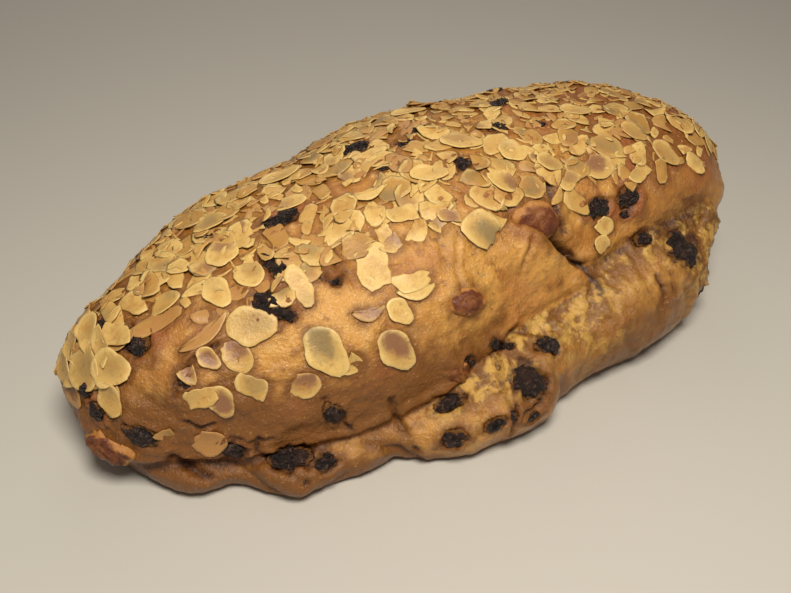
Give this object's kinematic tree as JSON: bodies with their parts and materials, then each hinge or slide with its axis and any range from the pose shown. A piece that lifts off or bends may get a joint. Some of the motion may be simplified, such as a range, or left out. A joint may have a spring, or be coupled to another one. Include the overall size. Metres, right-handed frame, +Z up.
{
  "type": "stollen",
  "caption": "Long folded festive sweet loaf with a browned crust, raisins baked into it and toasted almond flakes over its top, resting on its flat underside.",
  "frame": {"origin": "centre of the flat underside, on the surface that the loaf rests on", "axes": "+X along the loaf towards its blunt, higher end; -Y the side where the lip of the fold shows; +Z up"},
  "size_m": [0.3398, 0.1809, 0.1043],
  "materials": {
    "crust": "baked egg-washed crust, satin, browner low down and paler where it tore",
    "raisin": "dark wrinkled raisin skin, slightly glossy",
    "sultana": "brown glazed fruit under a thin skin of dough",
    "almond": "thin toasted almond slice, cream with a browner middle"
  },
  "bodies": {
    "root": {"loaf": "crust", "raisin_01": "raisin", "raisin_02": "raisin", "raisin_03": "raisin", "raisin_04": "raisin", "raisin_05": "raisin", "raisin_06": "raisin", "raisin_07": "raisin", "raisin_08": "raisin", "raisin_09": "raisin", "raisin_10": "raisin", "raisin_11": "raisin", "raisin_12": "raisin", "raisin_13": "raisin", "raisin_14": "raisin", "raisin_15": "raisin", "raisin_16": "raisin", "raisin_17": "raisin", "raisin_18": "raisin", "raisin_19": "raisin", "raisin_20": "raisin", "raisin_21": "raisin", "raisin_22": "raisin", "raisin_23": "raisin", "raisin_24": "raisin", "raisin_25": "raisin", "raisin_26": "raisin", "raisin_27": "raisin", "raisin_28": "raisin", "sultana_01": "sultana", "sultana_02": "sultana", "sultana_03": "sultana", "sultana_04": "sultana", "almond_flake_01": "almond", "almond_flake_02": "almond", "almond_flake_03": "almond", "almond_flake_04": "almond", "almond_flake_05": "almond", "almond_flake_06": "almond", "almond_flake_07": "almond", "almond_flake_08": "almond", "almond_flake_09": "almond", "almond_flake_10": "almond", "almond_flake_11": "almond", "almond_flake_12": "almond", "almond_flake_13": "almond", "almond_flake_14": "almond", "almond_flake_15": "almond", "almond_flake_16": "almond", "almond_flake_17": "almond", "almond_flake_18": "almond", "almond_flake_19": "almond", "almond_flake_20": "almond", "almond_flake_21": "almond", "almond_flake_22": "almond", "almond_flake_23": "almond", "almond_flake_24": "almond", "almond_flake_25": "almond", "almond_flake_26": "almond", "almond_flake_27": "almond"}
  },
  "joints": []
}
